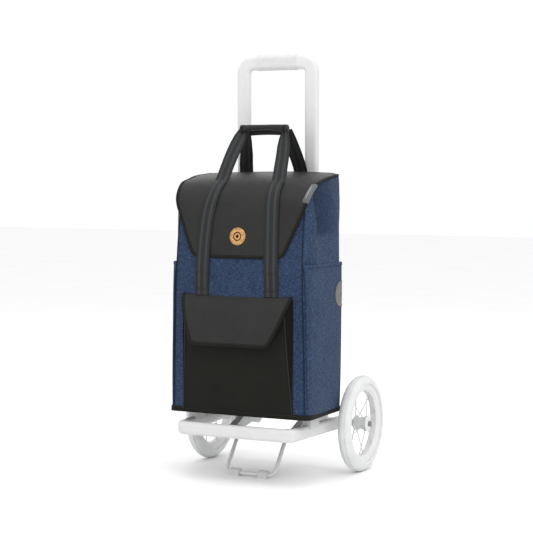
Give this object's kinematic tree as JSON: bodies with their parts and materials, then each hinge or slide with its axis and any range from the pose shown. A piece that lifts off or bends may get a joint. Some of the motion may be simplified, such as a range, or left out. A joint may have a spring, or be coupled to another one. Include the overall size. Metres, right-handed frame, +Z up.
{
  "type": "shopping trolley on wheels",
  "caption": "Fabric shopping bag with flap, carrying straps and pockets on a folding metal frame with spoked wheels.",
  "frame": {"origin": "on the ground, midway across the wheels and midway front to back", "axes": "+Z up, -Y towards the front with the pocket, +Y towards the wheels and the pulling handle, +X to the right as seen from the front"},
  "size_m": [0.499, 0.4425, 1.0815],
  "materials": {
    "frame_tube": "pale grey satin paint",
    "frame_fitting": "pale grey fine-textured plastic",
    "steel": "bright zinc plate",
    "tyre": "pale grey non-marking rubber",
    "rim": "pale grey satin paint",
    "rubber": "pale grey rubber",
    "button": "mid grey gloss",
    "sleeve": "pale grey soft foam",
    "blue_fabric": "blue melange polyester, padded",
    "side_fabric": "blue melange polyester, padded",
    "black_fabric": "black coated nylon",
    "flap_fabric": "charcoal coated nylon",
    "board": "dark ribbed stiffener",
    "hook_plastic": "black moulded plastic",
    "webbing": "dark grey woven webbing",
    "cork": "tan cork leather",
    "ribbon": "silver grey woven ribbon",
    "reflective": "grey reflective film"
  },
  "bodies": {
    "frame": {"upright_left": "frame_tube", "upright_right": "frame_tube", "lower_cross_tube": "frame_tube", "upper_cross_tube": "frame_tube", "axle_bracket_left": "frame_fitting", "axle_bracket_right": "frame_fitting", "axle": "steel", "axle_spacers": "frame_fitting", "lower_knuckle_left": "frame_fitting", "lower_knuckle_right": "frame_fitting", "fold_pins": "steel", "stand_pins": "steel"},
    "platform": {"platform_bow": "frame_tube", "platform_eyes": "frame_fitting", "support_pads": "rubber"},
    "wheel_left": {"tyre_left": "tyre", "rim_left": "rim", "spokes_left": "steel", "hub_left": "frame_fitting", "bearings_left": "steel", "hub_cap_left": "rim"},
    "wheel_right": {"tyre_right": "tyre", "rim_right": "rim", "spokes_right": "steel", "hub_right": "frame_fitting", "bearings_right": "steel", "hub_cap_right": "rim"},
    "wheel_release_left": {"wheel_button_left": "button"},
    "wheel_release_right": {"wheel_button_right": "button"},
    "handle": {"handle_bow": "frame_tube", "handle_sleeve": "sleeve", "upper_knuckle_left": "frame_fitting", "upper_knuckle_right": "frame_fitting"},
    "handle_lock_left": {"lock_button_left": "button"},
    "handle_lock_right": {"lock_button_right": "button"},
    "stand": {"stand_bow": "frame_tube", "stand_feet": "rubber"},
    "bag": {"bag_front": "blue_fabric", "bag_back": "flap_fabric", "bag_side_left": "side_fabric", "bag_side_right": "side_fabric", "bag_base": "black_fabric", "base_board": "board", "pocket_front": "black_fabric", "pocket_gussets": "black_fabric", "side_pocket_left": "side_fabric", "side_pocket_right": "side_fabric", "reflector_left": "reflective", "reflector_right": "reflective", "hanging_hooks": "hook_plastic"},
    "flap": {"main_flap": "flap_fabric", "badge": "cork", "edge_tag": "ribbon"},
    "front_handles": {"front_strap_left": "webbing", "front_strap_right": "webbing", "grip_wrap": "flap_fabric"},
    "rear_handles": {"rear_strap_left": "webbing", "rear_strap_right": "webbing", "rear_band": "webbing"},
    "pocket_cover": {"pocket_flap": "flap_fabric"}
  },
  "joints": [
    {"name": "wheel_spin_left", "type": "hinge", "parent": "frame", "child": "wheel_left", "pos_m": [-0.221, 0.0985, 0.125], "axis": [1, 0, 0], "continuous": true},
    {"name": "wheel_spin_right", "type": "hinge", "parent": "frame", "child": "wheel_right", "pos_m": [0.221, 0.0985, 0.125], "axis": [1, 0, 0], "continuous": true},
    {"name": "wheel_release_left_press", "type": "slide", "parent": "wheel_left", "child": "wheel_release_left", "axis": [1, 0, 0], "range_m": [0, 0.003], "stiffness_N_per_m": 400},
    {"name": "wheel_release_right_press", "type": "slide", "parent": "wheel_right", "child": "wheel_release_right", "axis": [-1, 0, 0], "range_m": [0, 0.003], "stiffness_N_per_m": 400},
    {"name": "handle_fold", "type": "hinge", "parent": "frame", "child": "handle", "pos_m": [0, 0.073, 0.68], "axis": [-1, 0, 0], "range_deg": [0, 180]},
    {"name": "handle_lock_left_press", "type": "slide", "parent": "handle", "child": "handle_lock_left", "axis": [1, 0, 0], "range_m": [0, 0.003], "stiffness_N_per_m": 400},
    {"name": "handle_lock_right_press", "type": "slide", "parent": "handle", "child": "handle_lock_right", "axis": [-1, 0, 0], "range_m": [0, 0.003], "stiffness_N_per_m": 400},
    {"name": "stand_fold", "type": "hinge", "parent": "frame", "child": "stand", "pos_m": [0, -0.025, 0.108], "axis": [1, 0, 0], "range_deg": [0, 120]},
    {"name": "bag_lift", "type": "slide", "parent": "frame", "child": "bag", "axis": [0, 0, 1], "range_m": [0, 0.37]},
    {"name": "platform_fold", "type": "hinge", "parent": "frame", "child": "platform", "pos_m": [0, 0.0985, 0.125], "axis": [-1, 0, 0], "range_deg": [0, 74]},
    {"name": "flap_open", "type": "hinge", "parent": "bag", "child": "flap", "pos_m": [0, 0.0285, 0.772], "axis": [-1, 0, 0], "range_deg": [0, 82]},
    {"name": "front_handles_drop", "type": "hinge", "parent": "bag", "child": "front_handles", "pos_m": [0, -0.1747, 0.48], "axis": [1, 0, 0], "range_deg": [0, 119]},
    {"name": "rear_handles_swing", "type": "hinge", "parent": "bag", "child": "rear_handles", "pos_m": [0, 0.0303, 0.758], "axis": [-1, 0, 0], "range_deg": [0, 22]},
    {"name": "pocket_cover_open", "type": "hinge", "parent": "bag", "child": "pocket_cover", "pos_m": [0, -0.175, 0.471], "axis": [1, 0, 0], "range_deg": [-75, 0]}
  ],
  "couplings": [
    {"joint": "platform_fold", "follows": "bag_lift", "rad_per_m": 3.4859},
    {"joint": "front_handles_drop", "follows": "flap_open", "ratio": 1.45},
    {"joint": "rear_handles_swing", "follows": "flap_open", "ratio": 0.265}
  ]
}
